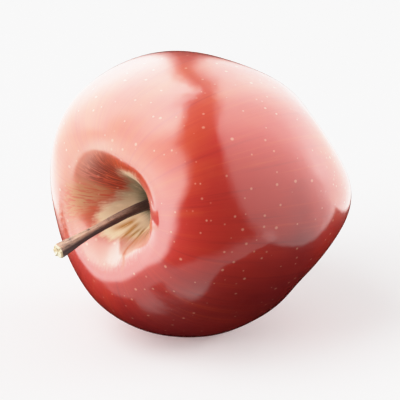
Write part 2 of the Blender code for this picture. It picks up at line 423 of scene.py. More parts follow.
def new_material(name):
    """An empty node material with its shader, ready for links."""
    material = bpy.data.materials.new(name)
    material.use_nodes = True
    tree = material.node_tree
    return material, tree, tree.nodes["Principled BSDF"]


def add_node(tree, kind, inputs, **settings):
    """Add a node, set its options, and link or fill its inputs."""
    node = tree.nodes.new(kind)
    for key, value in settings.items():
        setattr(node, key, value)
    for key, value in inputs.items():
        if isinstance(value, bpy.types.NodeSocket):
            tree.links.new(value, node.inputs[key])
        else:
            node.inputs[key].default_value = value
    return node


def calc(tree, operation, first, second=0.0, third=0.0):
    """One step of arithmetic on two or three values."""
    inputs = {0: first, 1: second, 2: third}
    return add_node(tree, "ShaderNodeMath", inputs, operation=operation).outputs[0]


def weigh(tree, *parts):
    """Sum of values times their weights, given as (value, weight)."""
    total = calc(tree, "MULTIPLY", *parts[0])
    for value, weight in parts[1:]:
        total = calc(tree, "MULTIPLY_ADD", value, weight, total)
    return total


def ease(tree, value, start, end, low=0.0, high=1.0):
    """A smooth step from low to high as the value goes from start to end."""
    node = add_node(
        tree, "ShaderNodeMapRange",
        {"Value": value, "From Min": start, "From Max": end, "To Min": low, "To Max": high},
        interpolation_type="SMOOTHSTEP",
    )
    return node.outputs["Result"]


def mix_colour(tree, factor, first, second, blend="MIX"):
    """Blend two colours, each given as a socket or as red, green and blue."""
    colours = [c if isinstance(c, bpy.types.NodeSocket) else (*c[:3], 1.0) for c in (first, second)]
    node = add_node(
        tree, "ShaderNodeMix", {0: factor, 6: colours[0], 7: colours[1]},
        data_type="RGBA", blend_type=blend,
    )
    return node.outputs[2]


def noise(tree, vector, scale, detail=3.0, roughness=0.5, distortion=0.0):
    """Cloudy noise from 0 to 1."""
    node = add_node(tree, "ShaderNodeTexNoise", {
        "Vector": vector, "Scale": scale, "Detail": detail, "Roughness": roughness,
        "Distortion": distortion,
    })
    return node.outputs["Fac"]


def stretched(tree, vector, scale):
    """Coordinates stretched along each axis."""
    return add_node(tree, "ShaderNodeMapping", {"Vector": vector, "Scale": scale}).outputs[0]


def ramp(tree, factor, stops):
    """A colour ramp with its stops given as (place, red, green, blue)."""
    node = add_node(tree, "ShaderNodeValToRGB", {"Fac": factor})
    elements = node.color_ramp.elements
    while len(elements) < len(stops):
        elements.new(1.0)
    for element, (place, *colour) in zip(elements, stops):
        element.position = place
        element.color = (*colour, 1.0)
    return node.outputs["Color"]


def attribute(tree, name, output):
    """Read a named value stored on the piece's vertices."""
    return add_node(tree, "ShaderNodeAttribute", {}, attribute_name=name).outputs[output]


def object_place(tree):
    """The piece's own coordinates, in metres."""
    return add_node(tree, "ShaderNodeTexCoord", {}).outputs["Object"]


def bump(tree, height, distance, strength=1.0, normal=None):
    """Fine relief from a height of 0 to 1 that stands a real distance proud."""
    inputs = {"Height": height, "Distance": distance, "Strength": strength}
    if normal is not None:
        inputs["Normal"] = normal
    return add_node(tree, "ShaderNodeBump", inputs).outputs["Normal"]


def lenticels(tree, place, spacing, size, share):
    """Soft round dots of a size, one to each random cell, kept in a share of the cells."""
    cells = add_node(tree, "ShaderNodeTexVoronoi", {"Vector": place, "Scale": 1.0 / spacing})
    chance = add_node(tree, "ShaderNodeSeparateColor", {"Color": cells.outputs["Color"]})
    reach = calc(tree, "MULTIPLY_ADD", chance.outputs["Green"], 0.6, 0.6)
    limit = calc(tree, "MULTIPLY", reach, size / spacing)
    near = calc(tree, "DIVIDE", cells.outputs["Distance"], limit)
    dot = ease(tree, near, 1.0, 0.35)
    kept = calc(tree, "LESS_THAN", chance.outputs["Red"], share)
    return calc(tree, "MULTIPLY", dot, kept)


def skin_colour(tree, looks, place, growth):
    """Blushed skin and its streaks: a weighted tone of side, clouds, streaks and both cheeks.

    The tone runs from deep crimson over red to orange-red.  Its side term is part blush and part
    painted shade: orange-red towards the top and left, deeper crimson towards the bottom.  The
    right cheek is a painted reflection that makes the right end lighter and more orange-red.  The
    finest streaks are then drawn in lighter and darker.
    """
    clouds = noise(tree, place, CLOUD_SCALE, 3.0, 0.55)
    broad = noise(tree, stretched(tree, growth, (2.6, 2.6, 1.1)), 1.0, 3.0, 0.6)
    fine = noise(tree, stretched(tree, growth, (26.0, 26.0, 2.2)), 1.0, 4.0, 0.65)
    towards_light = add_node(
        tree, "ShaderNodeVectorMath", {0: place, 1: looks.flush_and_light_direction}, operation="DOT_PRODUCT",
    ).outputs["Value"]
    # Part blush, part painted shade: orange-red towards the top and left, deeper crimson towards the
    # bottom
    side = ease(tree, towards_light, -0.012, 0.066)
    across = add_node(tree, "ShaderNodeSeparateXYZ", {0: place}).outputs["X"]
    # Painted reflection: the right end of the skin is lighter and more orange-red
    painted_right_reflection = ease(tree, across, 0.025, 0.036)
    left_cheek = ease(tree, across, -0.018, -0.034)
    tone = weigh(
        tree, (side, 0.50), (clouds, 0.36), (broad, 0.26), (fine, 0.10),
        (painted_right_reflection, 0.34), (left_cheek, 0.08),
    )
    flush = looks.flush_colour
    red = looks.red_colour
    deep = looks.deep_colour
    colour = ramp(tree, tone, [(0.40, *deep), (0.63, *red), (0.76, *red), (0.98, *flush)])
    streaks = ease(tree, fine, 0.54, 0.72, 0.0, 0.28)
    grooves = ease(tree, fine, 0.45, 0.30, 0.0, 0.28)
    colour = mix_colour(tree, streaks, colour, flush)
    return mix_colour(tree, grooves, colour, deep), fine


def cavity_colour(tree, looks, around, colour, streak, hairs):
    """Stem cavity: olive foot darkened as painted shade, cream and grey-green ground, brown hairs,
    russet rays, and a painted reflection, a pale pinkish veil, on its upper and lower walls.
    """
    core = attribute(tree, "core_distance", "Fac")
    edge = attribute(tree, "pale_edge", "Fac")
    brown = attribute(tree, "brown_fringe", "Fac")
    tan = attribute(tree, "tan_fringe", "Fac")
    rays = attribute(tree, "russet_rays", "Fac")
    patchy = noise(tree, stretched(tree, around, (2.4, 2.4, 3.0)), 1.0, 3.0, 0.6)
    lower = attribute(tree, "lower_wall", "Fac")

    # Painted reflection: a pale pinkish veil on the cavity's upper wall
    upper = calc(tree, "MULTIPLY", attribute(tree, "upper_wall", "Fac"), 0.52)
    colour = mix_colour(tree, upper, colour, looks.painted_veil_colour)
    colour = mix_colour(tree, calc(tree, "MULTIPLY", tan, 0.6), colour, looks.fringe_ground)
    hair = ease(tree, hairs, 0.40, 0.55)
    fringe = mix_colour(tree, ease(tree, tan, 0.1, 0.5), looks.fringe_brown, looks.fringe_tan)
    fringe_amount = calc(tree, "MULTIPLY", calc(tree, "MAXIMUM", brown, tan), hair)
    colour = mix_colour(tree, calc(tree, "MULTIPLY", fringe_amount, 0.95), colour, fringe)

    ragged = calc(tree, "SUBTRACT", hairs, 0.5)
    drift = calc(tree, "SUBTRACT", patchy, 0.5)
    border = weigh(tree, (edge, 1.0), (ragged, 2.6), (drift, 5.0))
    inside = ease(tree, border, 1.4, -1.0)
    # Painted reflection: a pale pinkish veil on the lower wall round the pale ground's border
    painted_veil = calc(tree, "MULTIPLY", ease(tree, border, 8.5, 4.5), lower)
    colour = mix_colour(tree, calc(tree, "MULTIPLY", painted_veil, 0.72), colour, looks.painted_veil_colour)
    grey = attribute(tree, "grey_ground", "Fac")
    grey = calc(tree, "MULTIPLY", grey, ease(tree, patchy, 0.25, 0.45))
    grey = calc(tree, "MULTIPLY", grey, ease(tree, core, 10.0, 7.0))
    ground = mix_colour(tree, grey, looks.cavity_cream, looks.cavity_olive)
    # Painted shade: the ground turns to the dark foot colour near the core
    shade = weigh(tree, (core, 1.0), (calc(tree, "SUBTRACT", streak, 0.5), 2.0))
    ground = mix_colour(tree, ease(tree, shade, 5.4, 3.2), ground, looks.painted_foot_shade)
    colour = mix_colour(tree, inside, colour, ground)

    worn = calc(tree, "MULTIPLY", rays, ease(tree, hairs, 0.25, 0.45))
    ray = mix_colour(tree, ease(tree, core, 7.5, 11.0), looks.ray_ochre, looks.ray_orange)
    return mix_colour(tree, worn, colour, ray), inside


def skin_material(looks):
    """Waxed apple skin with blush, streaks, lenticels, russet in the cavity and a thin coat."""
    material, tree, shader = new_material("apple_skin")
    place = object_place(tree)
    growth = attribute(tree, "growth", "Vector")
    core = attribute(tree, "core_distance", "Fac")
    stem_end = attribute(tree, "stem_end", "Fac")
    colour, streak = skin_colour(tree, looks, place, growth)

    small = lenticels(tree, place, looks.lenticel_spacing, looks.lenticel_size, LENTICEL_SHARE)
    crown = lenticels(
        tree, place, looks.lenticel_spacing * 0.74, looks.lenticel_size * 0.85, LENTICEL_SHARE,
    )
    crown = calc(tree, "MULTIPLY", crown, ease(tree, stem_end, 0.15, -0.6))
    dots = calc(tree, "MAXIMUM", small, crown)
    colour = mix_colour(tree, calc(tree, "MULTIPLY", dots, 0.58), colour, looks.lenticel_colour)

    around = attribute(tree, "around_core", "Vector")
    hairs = noise(tree, stretched(tree, around, (24.0, 24.0, 3.4)), 1.0, 3.0, 0.6, 0.6)
    colour, in_cavity = cavity_colour(tree, looks, around, colour, streak, hairs)

    crown_ring = ease(tree, weigh(tree, (core, 1.0), (streak, 14.0)), 19.0, 10.0)
    in_basin = calc(tree, "MULTIPLY", crown_ring, ease(tree, stem_end, -0.5, -0.7))
    colour = mix_colour(tree, calc(tree, "MULTIPLY", in_basin, 0.75), colour, looks.basin_colour)
    tree.links.new(colour, shader.inputs["Base Color"])

    grain = noise(tree, place, GRAIN_SCALE, 3.0, 0.6)
    russet = calc(tree, "MAXIMUM", in_cavity, in_basin)
    rough = calc(tree, "ADD", weigh(tree, (grain, 0.16), (russet, 0.20)), looks.skin_roughness)
    tree.links.new(rough, shader.inputs["Roughness"])
    peel = noise(tree, place, PEEL_SCALE, 2.0, 0.5)
    dimples = noise(tree, place, DIMPLE_SCALE, 2.0, 0.5)
    relief = bump(tree, dimples, 0.00010, 1.0)
    relief = bump(tree, peel, 0.00003, 0.35, relief)
    relief = bump(tree, dots, 0.00004, 0.5, relief)
    relief = bump(tree, calc(tree, "MULTIPLY", hairs, in_cavity), 0.0002, 0.5, relief)
    tree.links.new(relief, shader.inputs["Normal"])
    brown = attribute(tree, "brown_fringe", "Fac")
    fringe = calc(tree, "MAXIMUM", brown, attribute(tree, "tan_fringe", "Fac"))
    wax = bump(tree, dimples, 0.00007, 1.0)
    wax = bump(tree, peel, 0.000012, 0.4, wax)
    wax = bump(tree, calc(tree, "MULTIPLY", hairs, fringe), 0.0005, 1.0, wax)
    tree.links.new(wax, shader.inputs["Coat Normal"])
    matte = calc(tree, "MAXIMUM", in_cavity, attribute(tree, "russet_rays", "Fac"))
    matte = calc(tree, "MAXIMUM", fringe, matte)
    bare = ease(tree, matte, 0.0, 1.0, looks.wax_coat, looks.wax_coat * 0.35)
    tree.links.new(bare, shader.inputs["Coat Weight"])
    shader.inputs["Coat Roughness"].default_value = looks.wax_roughness
    shader.inputs["Coat IOR"].default_value = WAX_IOR
    shader.inputs["Specular IOR Level"].default_value = 0.18
    shader.inputs["Subsurface Weight"].default_value = 0.06
    shader.inputs["Subsurface Radius"].default_value = (0.004, 0.0008, 0.0005)
    shader.inputs["Subsurface Scale"].default_value = 0.5
    return material


def bark_material(looks):
    """Dry twig bark with long fibres, lighter on its ridges, with a painted tan highlight along its
    upper side, and pale wood at the broken tip.
    """
    material, tree, shader = new_material("stem_bark")
    place = object_place(tree)
    bark = attribute(tree, "bark_place", "Vector")
    fibres = noise(tree, stretched(tree, bark, (7.0, 7.0, 2.0)), 1.0, 5.0, 0.65)
    blotches = noise(tree, place, 380.0, 3.0, 0.6)
    tan = attribute(tree, "weathered", "Fac")
    tone = weigh(tree, (fibres, 0.6), (blotches, 0.4))
    colour = ramp(tree, tone, [
        (0.30, 0.016, 0.006, 0.007), (0.54, *looks.bark_colour), (0.72, *looks.bark_highlight),
    ])
    # Painted highlight: tan along the stem's upper side
    painted_highlight_patch = calc(tree, "MULTIPLY", tan, ease(tree, tone, 0.34, 0.54))
    colour = mix_colour(tree, painted_highlight_patch, colour, looks.painted_highlight_tan)
    broken = attribute(tree, "broken", "Fac")
    wood = mix_colour(tree, ease(tree, blotches, 0.35, 0.65), looks.wood_colour, looks.wood_shade)
    colour = mix_colour(tree, broken, colour, wood)
    tree.links.new(colour, shader.inputs["Base Color"])
    rough = calc(tree, "MULTIPLY_ADD", fibres, 0.3, 0.38)
    tree.links.new(rough, shader.inputs["Roughness"])
    relief = bump(tree, fibres, 0.00016, 0.8)
    relief = bump(tree, blotches, 0.00008, 0.5, relief)
    tree.links.new(relief, shader.inputs["Normal"])
    return material


def dried_material(name, dark, pale, down_colour, roughness, grain_scale):
    """Dried plant matter: two tones broken up by fine grain, with paler down where it is kept."""
    material, tree, shader = new_material(name)
    place = object_place(tree)
    grain = noise(tree, place, grain_scale, 4.0, 0.7)
    patches = noise(tree, place, grain_scale / 5, 2.0, 0.5)
    tone = weigh(tree, (grain, 0.6), (patches, 0.4))
    colour = mix_colour(tree, ease(tree, tone, 0.40, 0.62), dark, pale)
    colour = mix_colour(tree, attribute(tree, "down", "Fac"), colour, down_colour)
    tree.links.new(colour, shader.inputs["Base Color"])
    shader.inputs["Roughness"].default_value = roughness
    shader.inputs["Sheen Weight"].default_value = 0.04
    shader.inputs["Specular IOR Level"].default_value = 0.2
    shader.inputs["Sheen Roughness"].default_value = 0.5
    tree.links.new(bump(tree, grain, 0.00012, 0.8), shader.inputs["Normal"])
    return material


# ---------------------------------------------------------------------------------------------
# Settings a user would change
# ---------------------------------------------------------------------------------------------

def colour_property(name, description, default):
    """A colour setting, as linear red, green and blue."""
    return FloatVectorProperty(
        name=name, description=description, default=default, subtype="COLOR", size=3,
        min=0.0, max=1.0,
    )


def power_property(name, description, default):
    """The power of a lamp, in watts."""
    return FloatProperty(
        name=name, description=description, default=default, min=0.0, unit="POWER",
    )


def share_property(name, description, default):
    """A setting from 0 to 1."""
    return FloatProperty(name=name, description=description, default=default, min=0.0, max=1.0)


def glow_property(name, description, default):
    """A brightness, from 0 up."""
    return FloatProperty(name=name, description=description, default=default, min=0.0)


class APPLE_PG_fruit(bpy.types.PropertyGroup):
    """Colours and sizes of the skin."""

    red_colour: colour_property("Red", "Main red of the skin", (0.48, 0.028, 0.018))
    flush_colour: colour_property(
        "Flush", "Orange-red where the blush is thin",
        (0.62, 0.092, 0.022),
    )
    deep_colour: colour_property("Deep red", "Crimson of the shaded side", (0.25, 0.012, 0.014))
    # Part blush, part painted shade along this way: deeper crimson at its low end, orange-red at its
    # high end
    flush_and_light_direction: FloatVectorProperty(
        name="Flush direction", description="Way from the crimson side to the orange-red side",
        default=(-0.55, 0.10, 0.83), subtype="DIRECTION", size=3,
    )
    lenticel_colour: colour_property("Lenticels", "Pale dots in the skin", (0.80, 0.37, 0.25))
    lenticel_spacing: FloatProperty(
        name="Lenticel spacing", description="Size of the cells that hold a lenticel each",
        default=0.0025, min=0.001, unit="LENGTH",
    )
    lenticel_size: FloatProperty(
        name="Lenticel size", description="Radius of the largest lenticels",
        default=0.00048, min=0.0001, unit="LENGTH",
    )
    # Painted shade: dark olive-brown deep in the cavity round the stem's foot
    painted_foot_shade: colour_property(
        "Cavity foot", "Dark skin round the stem's foot",
        (0.085, 0.070, 0.032),
    )
    cavity_olive: colour_property(
        "Cavity olive", "Grey-green ground of the cavity",
        (0.27, 0.215, 0.13),
    )
    cavity_cream: colour_property("Cavity cream", "Pale ground of the cavity", (0.80, 0.60, 0.40))
    # Painted reflection: the pale pinkish veil on the cavity's walls
    painted_veil_colour: colour_property("Halo", "Paler skin round the cavity", (0.78, 0.43, 0.33))
    fringe_brown: colour_property(
        "Fringe brown", "Brown-red hairs above the cavity",
        (0.20, 0.028, 0.014),
    )
    fringe_ground: colour_property(
        "Fringe ground", "Paler skin under the tan hairs",
        (0.44, 0.115, 0.062),
    )
    fringe_tan: colour_property("Fringe tan", "Tan russet hairs beside the cavity", (0.52, 0.26, 0.12))
    ray_ochre: colour_property("Ray ochre", "Russet rays near the stem", (0.42, 0.19, 0.035))
    ray_orange: colour_property("Ray orange", "Ends of the russet rays", (0.50, 0.115, 0.030))
    basin_colour: colour_property("Basin", "Greenish ochre round the calyx", (0.33, 0.17, 0.035))
    skin_roughness: share_property("Skin roughness", "Roughness under the wax", 0.30)
    wax_coat: share_property("Wax", "Weight of the wax coat", 1.0)
    wax_roughness: share_property("Wax roughness", "Roughness of the wax coat", 0.075)


class APPLE_PG_stem(bpy.types.PropertyGroup):
    """Colours and ridges of the stem."""

    bark_colour: colour_property("Bark", "Purple-brown bark", (0.036, 0.013, 0.013))
    bark_highlight: colour_property(
        "Bark ridges", "Lighter fibres of the bark",
        (0.105, 0.046, 0.034),
    )
    # Painted highlight: tan along the stem's upper side
    painted_highlight_tan: colour_property("Weathered bark", "Tan where the bark has worn", (0.56, 0.34, 0.24))
    wood_colour: colour_property("Wood", "Broken end of the stem", (0.86, 0.76, 0.55))
    wood_shade: colour_property("Wood shade", "Darker wood at the broken end", (0.60, 0.44, 0.25))
    ridge_height: FloatProperty(
        name="Ridge height", description="Height of the bark's long ridges",
        default=0.00007, min=0.0, unit="LENGTH",
    )


class APPLE_PG_calyx(bpy.types.PropertyGroup):
    """Colours and counts of the dried flower parts."""

    leaf_dark: colour_property("Sepal dark", "Dark of the dried sepals", (0.034, 0.019, 0.010))
    leaf_pale: colour_property("Sepal pale", "Downy brown of the sepals", (0.20, 0.135, 0.070))
    stamen_dark: colour_property("Stamen dark", "Dark of the stamens", (0.020, 0.014, 0.009))
    stamen_pale: colour_property("Stamen pale", "Pale of the stamens", (0.16, 0.11, 0.06))
    down_colour: colour_property("Down", "Fine pale hairs on the sepals", (0.46, 0.36, 0.23))
    down_hairs: IntProperty(
        name="Down hairs", description="Fine hairs on each sepal", default=260, min=1,
    )
    stamens: IntProperty(
        name="Stamens", description="Number of withered stamens", default=16, min=1,
    )


class APPLE_PG_stage(bpy.types.PropertyGroup):
    """Floor, lights and camera."""

    floor_colour: colour_property("Floor", "Colour of the plain floor", (0.86, 0.86, 0.86))
    floor_glow: glow_property("Floor glow", "Light that the floor gives off", 0.16)
    camera_distance: FloatProperty(
        name="Camera distance", description="Camera to the middle of the apple",
        default=0.975, min=0.1, unit="LENGTH",
    )
    camera_elevation: FloatProperty(
        name="Camera elevation", description="Height of the view above the horizon",
        default=math.radians(25.0), subtype="ANGLE",
    )
    focal_length: FloatProperty(
        name="Focal length", description="Focal length on a 36 mm sensor, in millimetres",
        default=340.0, min=1.0,
    )
    left_panel: glow_property("Left panel", "Brightness of the tent's left side", 1.0)
    right_panel: glow_property("Right panel", "Brightness of the tent's right side", 1.0)
    table_glow: glow_property("Table glow", "Brightness of the lit table in the gloss", 1.0)
    key_power: power_property("Key light", "Power of the main light", 16.0)
    left_power: power_property("Left fill", "Power of the low left light", 11.0)
    bounce_power: power_property("Table bounce", "Power of the light off the table", 1.3)
    right_power: power_property("Right fill", "Power of the low right light", 14.0)
    surround_above: glow_property("Surround above", "Even light from above", 0.62)
    surround_below: glow_property("Surround below", "Even light from below", 0.15)


# ---------------------------------------------------------------------------------------------
# Pieces
# ---------------------------------------------------------------------------------------------

def build_fruit(looks):
    """Skin of the fruit: a closed grid of polar angle by turn, with its growth kept per vertex."""
    polar, turn = skin_grid(SKIN_RINGS, SKIN_TURNS)
    points = press_on_floor(lay_down(grown_points(polar, turn)))
    poles = lay_down(np.stack([CAVITY_FLOOR, BASIN_FLOOR]))
    vertices = tube_vertices(points, poles[0], poles[1])
    piece = mesh_piece("fruit_skin", vertices, closed_tube_faces(*polar.shape), skin_material(looks))
    mesh = piece.data
    radius, _ = turned_outline(polar)
    growth = np.stack([np.cos(turn), np.sin(turn), polar / np.pi], axis=-1)
    growth = tube_vertices(growth, (0.0, 0.0, 0.0), (0.0, 0.0, 1.0))
    store_values(mesh, "growth", "FLOAT_VECTOR", growth)
    store_values(mesh, "core_distance", "FLOAT", np.append(radius.ravel() / MILLIMETRE, [0.0, 0.0]))
    store_values(mesh, "stem_end", "FLOAT", np.append(np.cos(polar).ravel(), [1.0, -1.0]))
    mark_cavity(mesh, polar, turn, radius / MILLIMETRE)
    return piece


def bell(value, middle, width):
    """A bell-shaped hump: exp(-((value - middle) / width)^2)."""
    return np.exp(-(((value - middle) / width) ** 2))


def turn_bell(degrees, middle, width):
    """A bell-shaped hump over the turn, which runs on past 360 degrees."""
    return bell((degrees - middle + 180.0) % 360.0, 180.0, width)


def mark_cavity(mesh, polar, turn, core):
    """Keep the cavity's markings per vertex, by distance from the core and turn.

    The pale ground ends where the core distance passes a reach that runs through set knots over
    the turn; bands are bells in turn times bells in distance, and sides are bells in turn; each
    ray is a bell across its turn, which wavers with distance, times a soft start and end.
    """
    degrees = np.degrees(turn) % 360.0
    stem_side = np.cos(polar) > 0.0
    reach = np.interp(degrees, PALE_TURNS, PALE_REACH)
    edge = np.where(stem_side, core - reach, FAR_FROM_EDGE)
    beyond = np.maximum(edge, 0.0)
    rays = np.zeros_like(core)
    for middle, start, end, width in RUSSET_RAYS:
        waver = middle + RAY_WAVER * np.sin(core * RAY_WAVER_RATE + middle)
        fade = RAY_FADE * (end - start)
        along = np.clip(core - start, 0.0, 1.0) * np.clip((end - core) / fade, 0.0, 1.0)
        rays = np.maximum(rays, turn_bell(degrees, waver, width) * along)
    marks = {"russet_rays": rays}
    for name, (middle, spread, distance, depth) in CAVITY_BANDS.items():
        marks[name] = turn_bell(degrees, middle, spread) * bell(beyond, distance, depth)
    for name, (middle, spread) in CAVITY_SIDES.items():
        marks[name] = turn_bell(degrees, middle, spread)
    around = np.stack([np.cos(turn), np.sin(turn), core / 10.0], axis=-1)
    store_values(mesh, "around_core", "FLOAT_VECTOR", tube_vertices(around, (0, 0, 0), (0, 0, 0)))
    store_values(mesh, "pale_edge", "FLOAT", np.append(edge.ravel(), [CORE_EDGE, FAR_FROM_EDGE]))
    for name, value in marks.items():
        store_values(mesh, name, "FLOAT", np.append((value * stem_side).ravel(), [0.0, 0.0]))


def stem_line(share):
    """Middle line of the stem: a quadratic curve from foot over knee to tip."""
    foot = CAVITY_FLOOR
    knee = foot + np.array([0.0, 0.0, STEM_RISE])
    out = math.sin(STEM_LEAN)
    lean = np.array([
        out * math.cos(STEM_HEADING), out * math.sin(STEM_HEADING), math.cos(STEM_LEAN),
    ])
    tip = knee + lean * STEM_REACH
    share = np.asarray(share)[..., None]
    return foot * (1 - share) ** 2 + knee * (2 * share * (1 - share)) + tip * share**2


def stem_width(share):
    """Radius of the stem at a share s of its length.

    neck + foot swell (1 - s / 0.42)^1.5 + tip flare (1 - (1 - s) / 0.30)^1.6, where a bracket
    that falls below zero counts as zero.
    """
    at_foot = np.maximum(0.0, 1.0 - share / 0.42) ** 1.5
    at_tip = np.maximum(0.0, 1.0 - (1.0 - share) / 0.30) ** 1.6
    return STEM_NECK_RADIUS + STEM_FOOT_SWELL * at_foot + STEM_TIP_FLARE * at_tip


def carry_along(line, radius_across, turn):
    """Carry rings of the given radius along a plane curve, square to its direction."""
    along = np.gradient(line, axis=0)
    along /= np.linalg.norm(along, axis=1, keepdims=True)
    flank = np.array([math.sin(STEM_HEADING), -math.cos(STEM_HEADING), 0.0])
    crown = np.cross(flank, along)
    ring = np.cos(turn)[..., None] * crown[:, None, :] + np.sin(turn)[..., None] * flank
    return line[:, None, :] + ring * radius_across[..., None]


def build_stem(looks):
    """Stem: a ridged tube along the middle line whose end breaks off pale and ragged.

    The wall's radius is the stem's width plus ridges of cos 5t, cos 8t and cos 13t that drift
    along it.  The last rows turn inwards over the broken end, each pushed out by its rise times
    a jagged edge of sin 3t, sin 7t and sin 12t.
    """
    rows, columns = 150, 56
    share = np.linspace(0.0, BARK_ENDS_AT, rows)
    share = np.append(share, np.full(len(BROKEN_SHARE), BARK_ENDS_AT))
    turn = np.broadcast_to(2 * np.pi * np.arange(columns) / columns, (len(share), columns))
    drift = share[:, None] * 3.0
    ridges = np.cos(5 * turn + drift) + 0.8 * np.cos(8 * turn - 2 * drift + 1.0)
    ridges = ridges + 0.5 * np.cos(13 * turn + 3 * drift + 2.0)
    lumps = np.sin(share * 21.0)[:, None] * np.cos(2 * turn + 4 * drift) * 0.6
    radius = stem_width(share)[:, None] + looks.ridge_height * (ridges + lumps)
    shrink = np.append(np.ones(rows), BROKEN_SHARE)
    line = stem_line(share + np.linspace(0, 1e-6, len(share)))
    points = carry_along(line, radius * shrink[:, None], turn)
    outward = stem_line(np.array([0.99])) - stem_line(np.array([0.97]))
    outward = (outward / np.linalg.norm(outward))[0]
    jag = 0.5 + 0.3 * np.sin(3 * turn[0] + 0.5) + 0.25 * np.sin(7 * turn[0] + 1.4)
    jag = jag + 0.15 * np.sin(12 * turn[0])
    rise = np.append(np.zeros(rows), BROKEN_RISE)
    push = MILLIMETRE * rise[:, None] * (0.5 + jag[None, :])
    points = points + push[..., None] * outward
    foot = stem_line(np.array(0.0))
    middle = points[-1].mean(axis=0)
    vertices = lay_down(tube_vertices(points, foot, middle))
    faces = [list(reversed(face)) for face in closed_tube_faces(len(share), columns)]
    piece = mesh_piece("stem_bark", vertices, faces, bark_material(looks))
    mesh = piece.data
    lengthwise = np.broadcast_to(share[:, None] * 12, turn.shape)
    bark = np.stack([np.cos(turn), np.sin(turn), lengthwise], axis=-1)
    store_values(mesh, "bark_place", "FLOAT_VECTOR", tube_vertices(bark, (0, 0, 0), (0, 0, 12)))
    broken = np.broadcast_to(np.where(np.arange(len(share)) >= rows, 1.0, 0.0)[:, None], turn.shape)
    store_values(mesh, "broken", "FLOAT", np.append(broken.ravel(), [0.0, 1.0]))
    # Painted highlight: tan on the stem's upper side, growing from its middle towards the tip
    along_stem = np.clip(0.15 + 0.85 * (share - 0.40) / 0.35, 0.0, 1.0)[:, None]
    weathered = along_stem * np.clip(np.cos(turn - 0.3) * 2.0 - 0.5, 0.0, 1.0)
    store_values(mesh, "weathered", "FLOAT", np.append(weathered.ravel(), [0.0, 0.0]))
    return piece


def basin_rise(radius):
    """How far the basin's skin stands out beyond its floor at a distance from the core."""
    return BASIN_DEPTH * (1.0 - np.exp(-((radius / BASIN_WIDTH) ** 2)))


def down_cones(feet, ways, lengths, width):
    """Closed three-sided cones as vertices and faces: a ring of 3 points at each foot and a tip."""
    side = np.cross(ways, (0.31, 0.53, 0.79))
    side /= np.linalg.norm(side, axis=1, keepdims=True)
    other = np.cross(ways, side)
    angle = np.radians((0.0, 120.0, 240.0))[None, :, None]
    around = np.cos(angle) * side[:, None, :] + np.sin(angle) * other[:, None, :]
    ring = feet[:, None, :] + width * around
    tips = (feet + ways * lengths[:, None])[:, None, :]
    first = 4 * np.arange(len(feet))[:, None, None]
    faces = first + np.array([(0, 2, 1), (0, 1, 3), (1, 2, 3), (2, 0, 3)])[None]
    return np.concatenate([ring, tips], axis=1).reshape(-1, 3), faces.reshape(-1, 3)


def build_sepal(number, count, material):
    """One dried sepal: a crumpled closed tongue that leans in at its waist and curls at its tip.

    Its line has radius ring - 4 s (1 - s) (ring - waist) + (tip - ring) s^2 and height
    H sin(pi s / 2) + basin rise (1 - s).  A flattened oval is carried along it, cupped by the
    square of the distance across and crumpled by sine terms, with fine down on both its sides.
    """
    rows, columns = 44, 30
    share = np.linspace(0.0, 1.0, rows)
    waist = 4 * share * (1 - share) * (SEPAL_RING_RADIUS - SEPAL_WAIST_RADIUS)
    radius = SEPAL_RING_RADIUS - waist + (SEPAL_TIP_RADIUS - SEPAL_RING_RADIUS) * share**2
    radius = radius + MILLIMETRE * 0.45 * math.sin(number * 2.4) * share**3
    height = SEPAL_HEIGHT * np.sin(share * np.pi / 2) + basin_rise(SEPAL_RING_RADIUS) * (1 - share)
    line = np.stack([radius, np.zeros(rows), -height], axis=-1)
    along = np.gradient(line, axis=0)
    along /= np.linalg.norm(along, axis=1, keepdims=True)
    face = np.stack([-along[:, 2], np.zeros(rows), along[:, 0]], axis=-1)
    turn = 2 * np.pi * np.arange(columns) / columns
    half_width = 0.62 * SEPAL_WIDTH * np.cos(0.95 * share * np.pi / 2) ** 0.7
    ragged = 1.0 + 0.12 * np.sin(share * 37.0 + number) + 0.07 * np.sin(share * 83.0 + 2 * number)
    across = (half_width * ragged)[:, None] * np.cos(turn)[None, :]
    thick = SEPAL_HALF_THICKNESS * (1 - 0.5 * share[:, None]) * np.sin(turn)[None, :]
    crumple = np.sin(share * 19.0 + number)[:, None] * np.sin(across * 4200.0 + 1.3 * number)
    fine_crumple = np.sin(share * 61.0)[:, None] * np.cos(across * 7000.0)
    crumple = 0.00016 * crumple + 0.00007 * fine_crumple
    cup = 0.50 * across**2 / SEPAL_WIDTH + crumple * np.sin(share * np.pi)[:, None] ** 0.5
    points = line[:, None, :] + face[:, None, :] * (thick - cup)[..., None]
    points = points + across[..., None] * np.array([0.0, 1.0, 0.0])

    chance = np.random.default_rng(SEPAL_SEED + number)
    row = chance.integers(4, rows - 1, count)
    column = chance.integers(0, columns, count)
    ways = along[row] * 0.7 + face[row] * np.sign(np.sin(turn[column]))[:, None]
    ways = ways + chance.normal(0.0, 0.45, (count, 3))
    ways /= np.linalg.norm(ways, axis=1, keepdims=True)
    lengths = chance.uniform(0.0003, 0.0009, count)
    cones, cone_faces = down_cones(points[row, column], ways, lengths, DOWN_RADIUS)

    angle = RIB_TURN + 2 * math.pi * (number - 0.5) / SEPALS
    spin = np.array(Matrix.Rotation(angle, 3, "Z"))
    tongue = tube_vertices(points, points[0].mean(axis=0), points[-1].mean(axis=0))
    vertices = lay_down(np.concatenate([tongue, cones]) @ spin.T + BASIN_FLOOR)
    faces = [list(reversed(face)) for face in closed_tube_faces(rows, columns)]
    faces += (cone_faces + len(tongue)).tolist()
    piece = mesh_piece(f"sepal_leaf_{number}", vertices, faces, material)
    down = np.concatenate([np.zeros(len(tongue)), np.ones(len(cones))])
    store_values(piece.data, "down", "FLOAT", down)
    return piece


